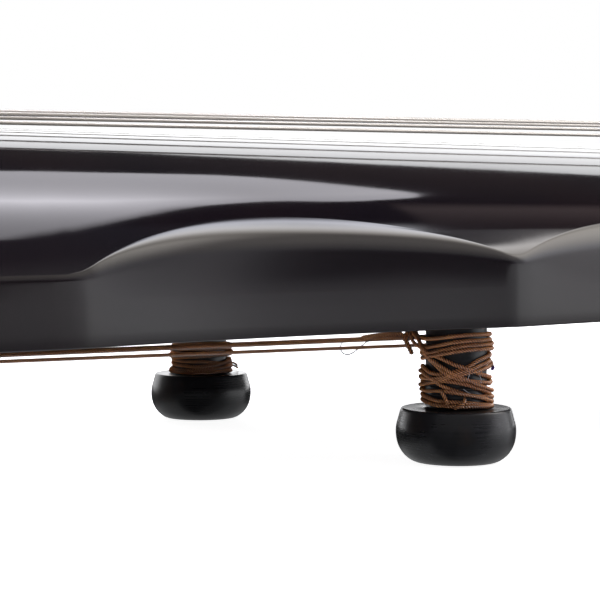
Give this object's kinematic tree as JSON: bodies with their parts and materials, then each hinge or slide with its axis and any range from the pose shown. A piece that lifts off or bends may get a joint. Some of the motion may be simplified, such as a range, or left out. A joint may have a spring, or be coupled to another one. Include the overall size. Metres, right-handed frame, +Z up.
{
  "type": "guqin",
  "caption": "Long lacquered seven-string zither with an arched top, waist arcs, turned goose feet with wound strings, tuning pegs under its head and sound holes beneath.",
  "frame": {"origin": "centre of the bounding box's base, on the surface that the feet and the peg guards stand on", "axes": "+X along the body towards the head, +Y across it away from the player, +Z up"},
  "size_m": [1.228, 0.204, 0.1095],
  "materials": {
    "lacquer": "high-gloss near-black lacquer over wood",
    "bare_wood": "bare softwood",
    "hardwood": "polished dark hardwood",
    "foot_wood": "turned black wood, satin, with fine lathe lines",
    "shell": "polished mother-of-pearl",
    "peg_wood": "polished dark hardwood",
    "peg_cord": "twisted silk cord",
    "string": "twisted, glued silk string, copper brown"
  },
  "bodies": {
    "body": {"top_plate": "lacquer", "bottom_plate": "lacquer", "heaven_pillar": "bare_wood", "earth_pillar": "bare_wood", "dragon_pool_rim": "hardwood", "phoenix_pond_rim": "hardwood", "peg_board": "hardwood", "bridge": "hardwood", "peg_strip": "hardwood", "tail_nut": "hardwood", "tail_nut_rest": "hardwood", "peg_guard_near": "hardwood", "peg_guard_far": "hardwood", "tail_crown_upper_near": "hardwood", "tail_crown_upper_far": "hardwood", "tail_crown_lower_near": "hardwood", "tail_crown_lower_far": "hardwood", "goose_foot_near": "foot_wood", "goose_foot_far": "foot_wood", "hui_1": "shell", "hui_2": "shell", "hui_3": "shell", "hui_4": "shell", "hui_5": "shell", "hui_6": "shell", "hui_7": "shell", "hui_8": "shell", "hui_9": "shell", "hui_10": "shell", "hui_11": "shell", "hui_12": "shell", "hui_13": "shell", "peg_cord_1": "peg_cord", "peg_cord_2": "peg_cord", "peg_cord_3": "peg_cord", "peg_cord_4": "peg_cord", "peg_cord_5": "peg_cord", "peg_cord_6": "peg_cord", "peg_cord_7": "peg_cord", "string_1": "string", "string_2": "string", "string_3": "string", "string_4": "string", "string_5": "string", "string_6": "string", "string_7": "string"},
    "peg_1": {"tuning_peg_1": "peg_wood"},
    "peg_2": {"tuning_peg_2": "peg_wood"},
    "peg_3": {"tuning_peg_3": "peg_wood"},
    "peg_4": {"tuning_peg_4": "peg_wood"},
    "peg_5": {"tuning_peg_5": "peg_wood"},
    "peg_6": {"tuning_peg_6": "peg_wood"},
    "peg_7": {"tuning_peg_7": "peg_wood"}
  },
  "joints": [
    {"name": "peg_1_turn", "type": "hinge", "parent": "body", "child": "peg_1", "pos_m": [0.5378, 0.057, 0.003], "axis": [0, 0, 1], "continuous": true},
    {"name": "peg_2_turn", "type": "hinge", "parent": "body", "child": "peg_2", "pos_m": [0.5378, 0.038, 0.003], "axis": [0, 0, 1], "continuous": true},
    {"name": "peg_3_turn", "type": "hinge", "parent": "body", "child": "peg_3", "pos_m": [0.5378, 0.019, 0.003], "axis": [0, 0, 1], "continuous": true},
    {"name": "peg_4_turn", "type": "hinge", "parent": "body", "child": "peg_4", "pos_m": [0.5378, 0, 0.003], "axis": [0, 0, 1], "continuous": true},
    {"name": "peg_5_turn", "type": "hinge", "parent": "body", "child": "peg_5", "pos_m": [0.5378, -0.019, 0.003], "axis": [0, 0, 1], "continuous": true},
    {"name": "peg_6_turn", "type": "hinge", "parent": "body", "child": "peg_6", "pos_m": [0.5378, -0.038, 0.003], "axis": [0, 0, 1], "continuous": true},
    {"name": "peg_7_turn", "type": "hinge", "parent": "body", "child": "peg_7", "pos_m": [0.5378, -0.057, 0.003], "axis": [0, 0, 1], "continuous": true}
  ]
}
